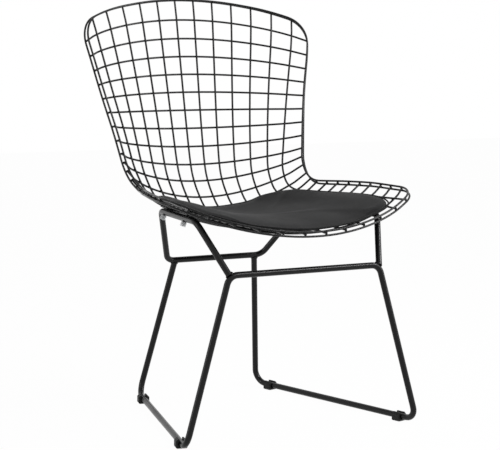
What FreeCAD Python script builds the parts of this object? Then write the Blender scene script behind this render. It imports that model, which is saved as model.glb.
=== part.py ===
import FreeCAD, Part
import math
import os

from FreeCAD import Placement, Rotation, Vector

# Wire mesh side chair. Millimetres, +Z up, front of the chair to -Y, origin on
# the floor in the middle of the chair's width and depth.

doc = FreeCAD.newDocument("wire_mesh_chair")
sheet = doc.addObject("Spreadsheet::Sheet", "sizes")

SIZES = [
    ("shell_width", 534, "width over the rims of the wire shell"),
    ("shell_depth", 559, "depth over the rims of the wire shell"),
    ("shell_rise", 444, "height of the shell from its lowest wire to the top rim"),
    ("seat_low", 374, "height of the lowest point of the wire seat above the floor"),
    ("grid_wire", 4, "diameter of the upright and cross wires"),
    ("rim_wire", 4, "diameter of the two rim wires"),
    ("weld_gap", 0.15, "room left between wires where they meet"),
    ("frame_rod", 12, "diameter of the base rods"),
    ("foot_front_half", 250, "half the distance between the front corners of the runners"),
    ("foot_rear_half", 137, "half the distance between the rear corners of the runners"),
    ("foot_front_y", -249, "front corner of a runner"),
    ("foot_rear_y", 192, "rear corner of a runner"),
    ("front_bar_half", 161, "half length of the front bar between its corners"),
    ("front_bar_y", -242, "front bar"),
    ("front_bar_height", 318, "height of the front bar"),
    ("rear_leg_half", 91, "half the distance between the tops of the rear legs"),
    ("rear_bar_half", 108, "half length of the rear bar between its corners"),
    ("rear_bar_y", 122, "rear bar"),
    ("rear_bar_height", 294, "height of the rear bar"),
    ("foot_bend", 24, "bend radius of the rods at the floor"),
    ("bar_bend", 22, "bend radius of the rods at the bars"),
    ("rail_bend", 26, "bend radius of the rods under the seat"),
    ("glide_length", 18, "length of a glide along its runner"),
    ("glide_width", 22, "width of a glide"),
    ("glide_height", 17.5, "height of a glide"),
    ("glide_sole", 3.5, "plastic under the runner"),
    ("glide_setback", 45, "distance from a runner's corner to its glide"),
    ("plate_thickness", 2, "thickness of a mounting plate"),
    ("plate_width", 16, "width of a mounting plate"),
    ("plate_length", 44, "length of a mounting plate"),
    ("stud_diameter", 5, "diameter of a mounting stud"),
    ("stud_room", 0.25, "room around a stud in its hole through the rail"),
    ("stud_tail", 3, "end of a stud that stands out of its nut"),
    ("washer_diameter", 10, "diameter of a washer"),
    ("washer_thickness", 1, "thickness of a washer"),
    ("nut_across_flats", 8, "width of a nut across its flats"),
    ("nut_height", 4, "height of a nut"),
    ("cap_wall", 0.8, "wall of the clear cap over a nut"),
    ("cap_room", 0.3, "room between a nut's corners and its clear cap"),
    ("pad_edge", 6, "thickness of the seat pad near its border"),
    ("pad_middle", 17, "thickness of the seat pad in its middle"),
]

for line, (alias, value, note) in enumerate(SIZES, start=1):
    sheet.set("A%d" % line, note)
    sheet.set("B%d" % line, str(value))
    sheet.setAlias("B%d" % line, alias)
doc.recompute()


def size(alias):
    return float(sheet.get(alias))


def bind(thing, prop, formula):
    thing.setExpression(prop, formula)


# The shell is a grid of rows and columns. Row 0 is the top rim, rows 1 to 22
# are the cross wires and row 23 is the front rim. Columns are counted from the
# middle of the chair, so the upright wires stand at -5.5, -4.5 ... 5.5.
LAST_ROW = 23
UPRIGHTS = 12
OUTER_COLUMN = 5.5

# The shell's lines: at each row the place of its middle (depth, height) and of
# its right-hand rim (half width, depth, height), as drawn at the sizes above.
# Depth is from the origin, height from the lowest point of the seat.
DRAWN_WIDTH = 534.0
DRAWN_DEPTH = 559.0
DRAWN_RISE = 444.0
MIDDLE_LINE = {
    0: (273.5, 441.0),
    1: (266.5, 400.5),
    4: (245.5, 288.5),
    8: (215.0, 140.5),
    9: (205.5, 104.0),
    10: (191.0, 71.5),
    11: (165.5, 41.0),
    12: (136.0, 17.5),
    13: (101.0, 6.5),
    14: (64.0, 1.0),
    16: (-12.0, 0.0),
    19: (-126.0, 8.5),
    22: (-240.0, 15.0),
    23: (-277.0, 15.5),
}
RIM_LINE = {
    0: (257.6, 203.0, 389.0),
    1: (252.6, 191.5, 358.5),
    4: (235.0, 170.0, 272.5),
    8: (211.5, 135.5, 163.5),
    9: (207.5, 127.5, 138.0),
    10: (204.0, 122.0, 121.0),
    11: (201.5, 112.5, 105.0),
    12: (199.0, 96.0, 89.0),
    13: (197.5, 76.0, 79.0),
    14: (200.0, 55.5, 74.0),
    15: (208.5, 29.0, 74.5),
    16: (219.0, 4.0, 76.0),
    18: (238.0, -49.0, 78.0),
    20: (253.0, -102.5, 79.0),
    22: (262.5, -162.0, 78.0),
    23: (265.5, -199.0, 80.5),
}
# Distance between neighbouring upright wires, by row.
COLUMN_PITCH = {0: 42.4, 4: 37.9, 8: 33.6, 10: 31.9, 12: 31.0, 15: 33.4, 23: 44.5}
# The outermost upright wires stand a little closer in, by row.
OUTER_SHARE = {0: 0.987, 7: 0.982, 13: 0.96, 18: 0.947, 22: 0.944, 23: 0.956}
# How much of the rise from middle to rim follows a square law, by row. The
# rest turns up sharply beside the rim.
SQUARE_SHARE = {0: 0.84, 4: 0.89, 9: 0.88, 12: 0.91, 15: 1.02, 19: 1.03, 23: 0.89}
TURN_UP_POWER = 8

STRETCH_X = size("shell_width") / DRAWN_WIDTH
STRETCH_Y = size("shell_depth") / DRAWN_DEPTH
STRETCH_Z = size("shell_rise") / DRAWN_RISE


def stretched(across, depth, height):
    z = size("seat_low") + height * STRETCH_Z
    return Vector(across * STRETCH_X, depth * STRETCH_Y, z)


def fair_curve(points_by_row):
    rows = sorted(points_by_row)
    curve = Part.BSplineCurve()
    points = [points_by_row[row] for row in rows]
    curve.interpolate(Points=points, Parameters=[float(row) for row in rows])
    return curve


def fair_values(values):
    return fair_curve({row: Vector(value, 0, 0) for row, value in values.items()})


MIDDLE = fair_curve({row: stretched(0, *place) for row, place in MIDDLE_LINE.items()})
RIM = fair_curve({row: stretched(*place) for row, place in RIM_LINE.items()})
PITCH = fair_values(COLUMN_PITCH)
OUTER = fair_values(OUTER_SHARE)
SQUARE = fair_values(SQUARE_SHARE)


def pitch(row):
    return PITCH.value(row).x * STRETCH_X


def rim_column(row):
    return RIM.value(row).x / pitch(row)


def shell_point(column, row):
    middle = MIDDLE.value(row)
    rim = RIM.value(row)
    reach = abs(column) / rim_column(row)
    square = SQUARE.value(row).x
    rise = square * reach ** 2 + (1 - square) * reach ** TURN_UP_POWER
    y = middle.y + rise * (rim.y - middle.y)
    z = middle.z + rise * (rim.z - middle.z)
    return Vector(column * pitch(row), y, z)


STEP = 0.001


def along_row(column, row):
    ahead = shell_point(column + STEP, row)
    behind = shell_point(column - STEP, row)
    return (ahead - behind).normalize()


def down_column(column, row):
    low = max(row - STEP, 0)
    high = min(row + STEP, LAST_ROW)
    return (shell_point(column, high) - shell_point(column, low)).normalize()


def shell_normal(column, row):
    # Points to the sitter's side.
    return down_column(column, row).cross(along_row(column, row)).normalize()


def on_layer(column, row, layer):
    return shell_point(column, row) + shell_normal(column, row) * layer


GRID_LAYER = (size("grid_wire") + size("weld_gap")) / 2
RIM_LAYER = (size("rim_wire") + size("grid_wire")) / 2 + size("weld_gap")


# Bent wire and rod: straight runs joined by tangent arcs.
def arc_at(corner, before, after, reach):
    back = (before - corner).normalize()
    ahead = (after - corner).normalize()
    start = corner + back * reach
    end = corner + ahead * reach
    half_angle = back.getAngle(ahead) / 2
    radius = reach * math.tan(half_angle)
    inward = (back + ahead).normalize()
    middle = corner + inward * (radius / math.sin(half_angle) - radius)
    return start, middle, end


STRAIGHT = 0.0005
SHORTEST_RUN = 0.05


def fitted(corners, reaches, closed):
    # Shortens the arcs where two of them would meet on one run.
    count = len(corners)
    reaches = list(reaches)
    for index in range(count if closed else count - 1):
        after = (index + 1) % count
        run = corners[index].distanceToPoint(corners[after]) - 2 * SHORTEST_RUN
        used = reaches[index] + reaches[after]
        if used > run:
            reaches[index] *= run / used
            reaches[after] *= run / used
    return reaches


def bent_wire(corners, reaches, closed=False):
    count = len(corners)
    reaches = fitted(corners, reaches, closed)
    edges = []
    first = None
    last = corners[0]
    inner = range(count) if closed else range(1, count - 1)
    for index in inner:
        corner = corners[index]
        before = corners[index - 1]
        after = corners[(index + 1) % count]
        turn = math.pi - (before - corner).getAngle(after - corner)
        if turn < STRAIGHT:
            continue
        start, middle, end = arc_at(corner, before, after, reaches[index])
        if first is None and closed:
            first = start
        else:
            edges.append(Part.LineSegment(last, start).toShape())
        edges.append(Part.Arc(start, middle, end).toShape())
        last = end
    finish = first if closed else corners[-1]
    edges.append(Part.LineSegment(last, finish).toShape())
    return Part.Wire(edges)


PARALLEL = 0.000002


def meeting_point(point_a, way_a, point_b, way_b):
    # The middle of the shortest line between two nearly crossing tangents, or
    # None where the wire is straight or turns over between the two points.
    gap = point_b - point_a
    cosine = way_a.dot(way_b)
    spread = 1 - cosine ** 2
    if spread < PARALLEL:
        return None
    along_a = (gap.dot(way_a) - cosine * gap.dot(way_b)) / spread
    along_b = (cosine * gap.dot(way_a) - gap.dot(way_b)) / spread
    if not (0 < along_a < gap.Length and 0 < -along_b < gap.Length):
        return None
    return (point_a + way_a * along_a + point_b + way_b * along_b) * 0.5


ARC_SHARE = 0.995


def corners_through(points, ways, closed=False):
    # Corners of a bent wire that runs through the points along the ways.
    corners = []
    reaches = []
    count = len(points)
    spans = count if closed else count - 1
    for index in range(spans):
        after = (index + 1) % count
        corner = meeting_point(points[index], ways[index], points[after], ways[after])
        if corner is None:
            continue
        nearest = min(corner.distanceToPoint(points[index]), corner.distanceToPoint(points[after]))
        corners.append(corner)
        reaches.append(nearest * ARC_SHARE)
    return corners, reaches


JOGGLE_START = 7.0
JOGGLE_REACH = 3.0


def joggled(points, ways, first_end, last_end):
    # Adds the two ends, which step from the wire's layer into the rim's.
    corners, reaches = corners_through(points, ways)
    first = points[0] - ways[0] * JOGGLE_START
    last = points[-1] + ways[-1] * JOGGLE_START
    corners = [first_end, first] + corners + [last, last_end]
    reaches = [0, JOGGLE_REACH] + reaches + [JOGGLE_REACH, 0]
    return bent_wire(corners, reaches)


def path_object(name, wire):
    path = doc.addObject("Part::Feature", name + "_path")
    path.Shape = wire
    return path


def start_of(wire):
    edge = wire.OrderedEdges[0]
    point = edge.valueAt(edge.FirstParameter)
    way = edge.tangentAt(edge.FirstParameter)
    if point.distanceToPoint(wire.OrderedVertexes[0].Point) > SHORTEST_RUN:
        point = edge.valueAt(edge.LastParameter)
        way = edge.tangentAt(edge.LastParameter) * -1
    return point, way


def swept(name, wire, diameter):
    # A round bar of the sheet's diameter along the wire.
    path = path_object(name, wire)
    point, way = start_of(wire)
    section = doc.addObject("Part::Circle", name + "_section")
    bind(section, "Radius", "<<sizes>>.%s / 2" % diameter)
    section.Placement = Placement(point, Rotation(Vector(0, 0, 1), way))
    bar = doc.addObject("Part::Sweep", name)
    bar.Sections = [section]
    bar.Spine = (path, ["Edge%d" % (index + 1) for index in range(len(wire.Edges))])
    bar.Solid = True
    bar.Frenet = False
    bar.Transition = "Right corner"
    return bar


NODES = []


def keep(thing, name):
    thing.Label = name
    NODES.append(thing)
    return thing


# The double rim: one wire on each face of the shell, the grid's ends between.
RIM_SIDE_KEYS = [1.25, 3.5, 6.5, 9, 10.6, 11.7, 12.6, 13.5, 14.6, 16, 18, 20, 21.9]
RIM_TOP_KEYS = [-5.2, -3, 0, 3, 5.2]
RIM_FRONT_KEYS = [4.9, 3.7, 2, 0, -2, -3.7, -4.9]


def rim_stations():
    top = [(column, 0, "row", 1) for column in RIM_TOP_KEYS]
    right = [(rim_column(row), row, "side", 1) for row in RIM_SIDE_KEYS]
    front = [(column, LAST_ROW, "row", -1) for column in RIM_FRONT_KEYS]
    left = [(-rim_column(row), row, "side", -1) for row in reversed(RIM_SIDE_KEYS)]
    return top + right + front + left


def side_point(side, row, layer):
    return on_layer(side * rim_column(row), row, layer)


def rim_way(column, row, kind, sense, layer):
    if kind == "row":
        ahead = on_layer(column + STEP, row, layer)
        behind = on_layer(column - STEP, row, layer)
    else:
        side = 1 if column > 0 else -1
        ahead = side_point(side, row + STEP, layer)
        behind = side_point(side, row - STEP, layer)
    return ((ahead - behind) * sense).normalize()


def rim_path(layer):
    points = []
    ways = []
    for column, row, kind, sense in rim_stations():
        points.append(on_layer(column, row, layer))
        ways.append(rim_way(column, row, kind, sense, layer))
    corners, reaches = corners_through(points, ways, closed=True)
    return bent_wire(corners, reaches, closed=True)


RIM_PATHS = {"inner": rim_path(RIM_LAYER), "outer": rim_path(-RIM_LAYER)}


def rim_wires():
    for face, path in RIM_PATHS.items():
        name = "rim_wire_" + face
        keep(swept(name, path, "rim_wire"), name)


END_OVERHANG = 0.8


def wire_end(place, inner_place):
    # Half way between the two rim wires, and a little on.
    spot = Part.Vertex(place)
    near = [path.distToShape(spot)[1][0][0] for path in RIM_PATHS.values()]
    middle = (near[0] + near[1]) * 0.5
    return middle + (place - inner_place).normalize() * END_OVERHANG


# Upright wires, on the sitter's side of the cross wires.
UPRIGHT_KEYS = [1, 3, 6, 8, 9, 10, 11, 12, 13, 14, 15, 16.5, 18, 20, 22]


def upright_column(number, row):
    column = number - (UPRIGHTS + 1) / 2.0
    share = OUTER.value(row).x if abs(column) == OUTER_COLUMN else 1
    return column * share


def on_upright(number, row, layer):
    return on_layer(upright_column(number, row), row, layer)


def down_upright(number, row):
    low = on_upright(number, row - STEP, GRID_LAYER)
    return (on_upright(number, row + STEP, GRID_LAYER) - low).normalize()


def upright_wire(number):
    points = [on_upright(number, row, GRID_LAYER) for row in UPRIGHT_KEYS]
    ways = [down_upright(number, row) for row in UPRIGHT_KEYS]
    top = wire_end(on_upright(number, 0, 0), on_upright(number, 1, 0))
    front = wire_end(on_upright(number, LAST_ROW, 0), on_upright(number, LAST_ROW - 1, 0))
    wire = joggled(points, ways, top, front)
    name = "upright_wire_%02d" % number
    return keep(swept(name, wire, "grid_wire"), name)


# Cross wires, behind and below the upright wires.
CROSS_KEYS = [-5.5, -4.6, -3.2, 0, 3.2, 4.6, 5.5]


def cross_wire(row):
    points = [on_layer(column, row, -GRID_LAYER) for column in CROSS_KEYS]
    ways = [along_row(column, row) for column in CROSS_KEYS]
    reach = rim_column(row)
    left = wire_end(shell_point(-reach, row), shell_point(-OUTER_COLUMN, row))
    right = wire_end(shell_point(reach, row), shell_point(OUTER_COLUMN, row))
    wire = joggled(points, ways, left, right)
    name = "cross_wire_%02d" % row
    return keep(swept(name, wire, "grid_wire"), name)


# Base rods.
ROD_HEIGHT = size("glide_sole") + size("frame_rod") / 2


def side_of(side, half, y, z):
    return Vector(side * half, y, z)


def foot_rear(side):
    return side_of(side, size("foot_rear_half"), size("foot_rear_y"), ROD_HEIGHT)


def foot_front(side):
    return side_of(side, size("foot_front_half"), size("foot_front_y"), ROD_HEIGHT)


def front_corner(side):
    return side_of(side, size("front_bar_half"), size("front_bar_y"), size("front_bar_height"))


def rear_corner(side):
    return side_of(side, size("rear_bar_half"), size("rear_bar_y"), size("rear_bar_height"))


def rear_leg_top(side):
    return side_of(side, size("rear_leg_half"), size("rear_bar_y"), size("rear_bar_height"))


def rod_path(corners, radii):
    reaches = [0]
    for index in range(1, len(corners) - 1):
        back = corners[index - 1] - corners[index]
        ahead = corners[index + 1] - corners[index]
        reaches.append(radii[index - 1] / math.tan(back.getAngle(ahead) / 2))
    return bent_wire(corners, reaches + [0])


def leg_frame():
    # One rod: rear leg, runner, front leg, front bar and the same back again.
    bar = size("frame_rod")
    corners = [rear_leg_top(1), foot_rear(1), foot_front(1), front_corner(1)]
    corners += [front_corner(-1), foot_front(-1), foot_rear(-1), rear_leg_top(-1)]
    drop = (corners[1] - corners[0]).normalize() * (bar * 0.5)
    corners[0] = corners[0] + drop
    drop = (corners[-2] - corners[-1]).normalize() * (bar * 0.5)
    corners[-1] = corners[-1] + drop
    radii = [size("foot_bend")] * 2 + [size("bar_bend")] * 2 + [size("foot_bend")] * 2
    rod = swept("leg_rod", rod_path(corners, radii), "frame_rod")
    bar_room = doc.addObject("Part::Cylinder", "rear_bar_room")
    bind(bar_room, "Radius", "<<sizes>>.frame_rod / 2 + <<sizes>>.weld_gap / 2")
    bind(bar_room, "Height", "<<sizes>>.rear_bar_half * 2")
    lie = Rotation(Vector(0, 0, 1), Vector(1, 0, 0))
    bar_room.Placement = Placement(rear_corner(-1), lie)
    frame = doc.addObject("Part::Cut", "leg_frame")
    frame.Base = rod
    frame.Tool = bar_room
    return keep(frame, "leg_frame")


# The seat rails follow the shell's underside from front to rear.
RAIL_REAR = (4.72, 14.6)
RAIL_FRONT = (4.45, 21.4)
PLATE_ROWS = (15.5, 19.5)
PLATE_ROOM = 0.55
UNDER_SHELL = GRID_LAYER + size("grid_wire") / 2 + PLATE_ROOM


def rail_depth():
    return UNDER_SHELL + size("plate_thickness") + size("frame_rod") / 2


def rail_end(side, place):
    column, row = place
    return on_layer(side * column, row, -rail_depth())


def seat_cradle_path():
    # One rod: front strut, rail, rear strut, rear bar and the same back again.
    right = [front_corner(1), rail_end(1, RAIL_FRONT), rail_end(1, RAIL_REAR), rear_corner(1)]
    left = [front_corner(-1), rail_end(-1, RAIL_FRONT), rail_end(-1, RAIL_REAR), rear_corner(-1)]
    corners = right + left[::-1]
    radii = [size("rail_bend")] * 2 + [size("bar_bend")] * 2 + [size("rail_bend")] * 2
    return rod_path(corners, radii)


def rail_way(side):
    return (rail_end(side, RAIL_FRONT) - rail_end(side, RAIL_REAR)).normalize()


def plate_place(side, row):
    # A point on the rail's axis, and the square way up from it to the shell.
    start = rail_end(side, RAIL_REAR)
    way = rail_way(side)
    near = shell_point(side * RAIL_REAR[0], row)
    middle = start + way * (near - start).dot(way)
    normal = shell_normal(side * RAIL_REAR[0], row)
    up = (normal - way * normal.dot(way)).normalize()
    return middle, up


def stations():
    return [(side, row) for side in (-1, 1) for row in PLATE_ROWS]


def turned(way, up):
    across = up.cross(way).normalize()
    matrix = FreeCAD.Matrix(way.x, across.x, up.x, 0, way.y, across.y, up.y, 0,
                            way.z, across.z, up.z, 0, 0, 0, 0, 1)
    return Placement(matrix).Rotation


def cylinder_up(name, middle, up, radius, height, start):
    # A round bar along up, from start above the rail's axis.
    bar = doc.addObject("Part::Cylinder", name)
    bind(bar, "Radius", radius)
    bind(bar, "Height", height)
    bar.Placement = Placement(middle + up * start, Rotation(Vector(0, 0, 1), up))
    return bar


def compound(name, things):
    whole = doc.addObject("Part::Compound", name)
    whole.Links = things
    return whole


def seat_cradle():
    rod = swept("cradle_rod", seat_cradle_path(), "frame_rod")
    holes = []
    for number, (side, row) in enumerate(stations(), start=1):
        middle, up = plate_place(side, row)
        name = "stud_hole_%d" % number
        bore = "<<sizes>>.stud_diameter / 2 + <<sizes>>.stud_room"
        hole = cylinder_up(name, middle, up, bore, "<<sizes>>.frame_rod * 2", -size("frame_rod"))
        holes.append(hole)
    leg_rooms = [front_bar_room(side) for side in (-1, 1)]
    cradle = doc.addObject("Part::Cut", "seat_cradle")
    cradle.Base = rod
    cradle.Tool = compound("cradle_cuts", holes + leg_rooms)
    return keep(cradle, "seat_cradle")


def front_bar_room(side):
    # The strut's foot is coped to sit on the front rod's round bend.
    room = doc.addObject("Part::Feature", "front_bar_room_%d" % (side + 2))
    corners = [foot_front(side), front_corner(side), front_corner(-side)]
    wire = rod_path(corners, [size("bar_bend")])
    radius = size("frame_rod") / 2 + size("weld_gap") / 2
    point, way = start_of(wire)
    profile = Part.Wire(Part.makeCircle(radius, point, way))
    room.Shape = wire.makePipeShell([profile], True, False)
    return room


def mount_plate(side, row, name):
    middle, up = plate_place(side, row)
    way = rail_way(side)
    across = up.cross(way).normalize()
    corner = middle + up * (size("frame_rod") / 2 + size("weld_gap") / 2)
    corner = corner - way * (size("plate_length") / 2) - across * (size("plate_width") / 2)
    plate = doc.addObject("Part::Box", name)
    bind(plate, "Length", "<<sizes>>.plate_length")
    bind(plate, "Width", "<<sizes>>.plate_width")
    bind(plate, "Height", "<<sizes>>.plate_thickness")
    plate.Placement = Placement(corner, turned(way, up))
    return keep(plate, name)


def mount_plates():
    words = {PLATE_ROWS[0]: "rear", PLATE_ROWS[1]: "front"}
    for side, row in stations():
        hand = "left" if side < 0 else "right"
        mount_plate(side, row, "mount_plate_%s_%s" % (words[row], hand))


def at_stations(name, radius, height, start):
    pieces = []
    for number, (side, row) in enumerate(stations(), start=1):
        middle, up = plate_place(side, row)
        pieces.append(cylinder_up("%s_%d" % (name, number), middle, up, radius, height, start))
    return pieces


NUT_CORNER = "<<sizes>>.nut_across_flats / 2 / cos(30)"


def hexagons(name, height, start):
    blocks = []
    for number, (side, row) in enumerate(stations(), start=1):
        middle, up = plate_place(side, row)
        block = doc.addObject("Part::Prism", "%s_%d" % (name, number))
        block.Polygon = 6
        bind(block, "Circumradius", NUT_CORNER)
        bind(block, "Height", height)
        block.Placement = Placement(middle + up * start, Rotation(Vector(0, 0, 1), up))
        blocks.append(block)
    return blocks


RING_ROOM = 0.15
CAP_ROUND = 1.1


def rings(name, solids, bores):
    cuts = []
    for number, (solid, bore) in enumerate(zip(solids, bores), start=1):
        ring = doc.addObject("Part::Cut", "%s_ring_%d" % (name, number))
        ring.Base = solid
        ring.Tool = bore
        cuts.append(ring)
    return keep(compound(name, cuts), name)


def fasteners():
    rod = size("frame_rod")
    washer = size("washer_thickness")
    nut = size("nut_height")
    below = rod / 2 + washer + nut + size("stud_tail")
    stud_height = "<<sizes>>.frame_rod + <<sizes>>.washer_thickness"
    stud_height += " + <<sizes>>.nut_height + <<sizes>>.stud_tail"
    studs = at_stations("mount_stud", "<<sizes>>.stud_diameter / 2", stud_height, -below)
    keep(compound("mount_studs", studs), "mount_studs")
    bore = "<<sizes>>.stud_diameter / 2 + %s" % RING_ROOM
    seat = -rod / 2 - washer
    discs = at_stations("washer", "<<sizes>>.washer_diameter / 2", "<<sizes>>.washer_thickness", seat)
    bores = at_stations("washer_bore", bore, "<<sizes>>.washer_thickness * 3", seat - washer)
    rings("mount_washers", discs, bores)
    blocks = hexagons("nut", "<<sizes>>.nut_height", seat - nut)
    bores = at_stations("nut_bore", bore, "<<sizes>>.nut_height * 3", seat - nut * 2)
    rings("mount_nuts", blocks, bores)
    nut_caps(seat)


def nut_caps(seat):
    # Clear cups pushed over the nuts and the stud ends.
    wall = size("cap_wall")
    hollow = size("nut_height") + size("stud_tail") + wall
    tall = hollow + wall
    inner = NUT_CORNER + " + <<sizes>>.cap_room"
    outer = inner + " + <<sizes>>.cap_wall"
    walls = at_stations("cap_wall_bar", outer, "%s" % (tall - CAP_ROUND), seat - tall + CAP_ROUND)
    rooms = at_stations("cap_hollow", inner, "%s" % hollow, seat - hollow)
    caps = []
    for number, (wall_bar, room) in enumerate(zip(walls, rooms), start=1):
        end = doc.addObject("Part::Cone", "cap_end_%d" % number)
        bind(end, "Radius1", outer + " - %s" % CAP_ROUND)
        bind(end, "Radius2", outer)
        end.Height = CAP_ROUND
        up = wall_bar.Placement.Rotation.multVec(Vector(0, 0, 1))
        end.Placement = Placement(wall_bar.Placement.Base - up * CAP_ROUND, wall_bar.Placement.Rotation)
        block = doc.addObject("Part::Fuse", "cap_block_%d" % number)
        block.Base = wall_bar
        block.Tool = end
        cap = doc.addObject("Part::Cut", "cap_%d" % number)
        cap.Base = block
        cap.Tool = room
        caps.append(cap)
    keep(compound("nut_caps", caps), "nut_caps")


# Glides: plastic saddles snapped on the runners.
def origin_plane(body, role):
    return next(item for item in body.Origin.OriginFeatures if item.Role == role)


GLIDE_SHOULDER = 4.0
GLIDE_SLOT = 8.0


def section_sketch(body, name):
    # Section across the runner: x across, y up, with the sole at y = 0.
    sketch = body.newObject("Sketcher::SketchObject", name)
    sketch.AttachmentSupport = [(origin_plane(body, "XZ_Plane"), "")]
    sketch.MapMode = "FlatFace"
    return sketch


def draw_closed(sketch, points):
    for index, (x, y) in enumerate(points):
        next_x, next_y = points[(index + 1) % len(points)]
        line = Part.LineSegment(Vector(x, y, 0), Vector(next_x, next_y, 0))
        sketch.addGeometry(line, False)


def glide_outline(body, name):
    half = size("glide_width") / 2
    tall = size("glide_height")
    sole = half - GLIDE_SHOULDER * 0.5
    crown = half - GLIDE_SHOULDER
    left = [(-crown, tall), (-half, tall - GLIDE_SHOULDER), (-half, GLIDE_SHOULDER * 0.5), (-sole, 0)]
    right = [(-x, y) for x, y in reversed(left)]
    sketch = section_sketch(body, name + "_outline")
    draw_closed(sketch, left + right)
    return sketch


def glide_bore(body, name):
    sketch = section_sketch(body, name + "_bore_outline")
    radius = size("frame_rod") / 2 + size("weld_gap") / 2
    sketch.addGeometry(Part.Circle(Vector(0, ROD_HEIGHT, 0), Vector(0, 0, 1), radius), False)
    return sketch


def glide_slot(body, name):
    sketch = section_sketch(body, name + "_slot_outline")
    half = GLIDE_SLOT / 2
    top = size("glide_height") + 1
    draw_closed(sketch, [(-half, ROD_HEIGHT), (half, ROD_HEIGHT), (half, top), (-half, top)])
    return sketch


def glide(side, end, name):
    body = doc.addObject("PartDesign::Body", name)
    block = body.newObject("PartDesign::Pad", name + "_block")
    block.Profile = glide_outline(body, name)
    bind(block, "Length", "<<sizes>>.glide_length")
    block.Midplane = True
    for label, outline in (("bore", glide_bore), ("slot", glide_slot)):
        pocket = body.newObject("PartDesign::Pocket", "%s_%s" % (name, label))
        pocket.Profile = outline(body, name)
        pocket.Type = "ThroughAll"
        pocket.Midplane = True
    rear = foot_rear(side)
    front = foot_front(side)
    way = (front - rear).normalize()
    setback = size("glide_setback")
    place = rear + way * setback if end == "rear" else front - way * setback
    spin = math.degrees(math.atan2(way.y, way.x)) - 90
    body.Placement = Placement(Vector(place.x, place.y, 0), Rotation(Vector(0, 0, 1), spin))
    return keep(body, name)


def glides():
    for side in (-1, 1):
        hand = "left" if side < 0 else "right"
        for end in ("rear", "front"):
            glide(side, end, "glide_%s_%s" % (end, hand))


# Seat pad: a thin cushion that follows the wire seat, with a crowned top.
PAD_MIDDLE_ROW = 17.45
PAD_HALF_ROWS = 5.45
PAD_HALF_COLUMNS = 5.1
PAD_TAPER = 0.2
PAD_REAR_CORNERS = 5.5
PAD_FRONT_CORNERS = 10.0
PAD_CLEAR = 0.35
PAD_SECTIONS = [-0.992, -0.95, -0.8, -0.5, -0.15, 0.2, 0.55, 0.8, 0.95, 0.992]
PAD_ACROSS = [-1, -0.96, -0.75, -0.4, 0, 0.4, 0.75, 0.96, 1]
PAD_SIDE_BULGE = 0.35


def pad_half_width(share):
    # Share runs from -1 at the rear edge to 1 at the front edge.
    power = PAD_FRONT_CORNERS if share > 0 else PAD_REAR_CORNERS
    widest = PAD_HALF_COLUMNS - PAD_TAPER * share
    return widest * (1 - abs(share) ** power) ** (1 / power)


def row_way(row):
    # Within the plane of a row, from its middle towards the rim.
    way = RIM.value(row) - MIDDLE.value(row)
    return Vector(0, way.y, way.z).normalize()


def pad_point(column, row, height):
    way = row_way(row)
    lean = shell_normal(column, row).dot(way)
    return shell_point(column, row) + way * (height / lean)


def pad_section(share):
    row = PAD_MIDDLE_ROW + PAD_HALF_ROWS * share
    half = pad_half_width(share)
    under = GRID_LAYER + size("grid_wire") / 2 + PAD_CLEAR
    edge = size("pad_edge")
    crown = size("pad_middle") - edge
    low = [pad_point(half * place, row, under) for place in PAD_ACROSS]
    high = []
    for place in PAD_ACROSS:
        fall = (1 - place ** 4) * (1 - share ** 4)
        thick = edge + crown * fall
        if abs(place) == 1:
            thick = edge * PAD_SIDE_BULGE
        high.append(pad_point(half * place, row, under + thick))
    return low, high


def curve_edge(points):
    curve = Part.BSplineCurve()
    curve.interpolate(points)
    return curve.toShape()


def seat_pad():
    sections = []
    for share in PAD_SECTIONS:
        low, high = pad_section(share)
        edges = [curve_edge(low), Part.LineSegment(low[-1], high[-1]).toShape()]
        edges += [curve_edge(high[::-1]), Part.LineSegment(high[0], low[0]).toShape()]
        sections.append(Part.Wire(edges))
    pad = doc.addObject("Part::Feature", "seat_pad")
    pad.Shape = Part.makeLoft(sections, True, False)
    return keep(pad, "seat_pad")


for number in range(1, UPRIGHTS + 1):
    upright_wire(number)
for row in range(1, LAST_ROW):
    cross_wire(row)
rim_wires()
leg_frame()
seat_cradle()
mount_plates()
fasteners()
glides()
seat_pad()

doc.recompute()
for thing in doc.Objects:
    if "Invalid" in thing.State or "Error" in thing.State:
        raise RuntimeError("%s did not build" % thing.Name)
os.makedirs("parts", exist_ok=True)
for thing in NODES:
    if thing.Shape.isNull() or not thing.Shape.isValid():
        raise RuntimeError("%s has no valid shape" % thing.Label)
    thing.Shape.exportStep("parts/%s.step" % thing.Label)
print(len(NODES), "pieces")
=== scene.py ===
import math

import bmesh
import bpy
from bpy.props import FloatProperty, FloatVectorProperty, IntProperty, PointerProperty
from mathutils import Matrix, Vector, noise
from mathutils.bvhtree import BVHTree


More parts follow.
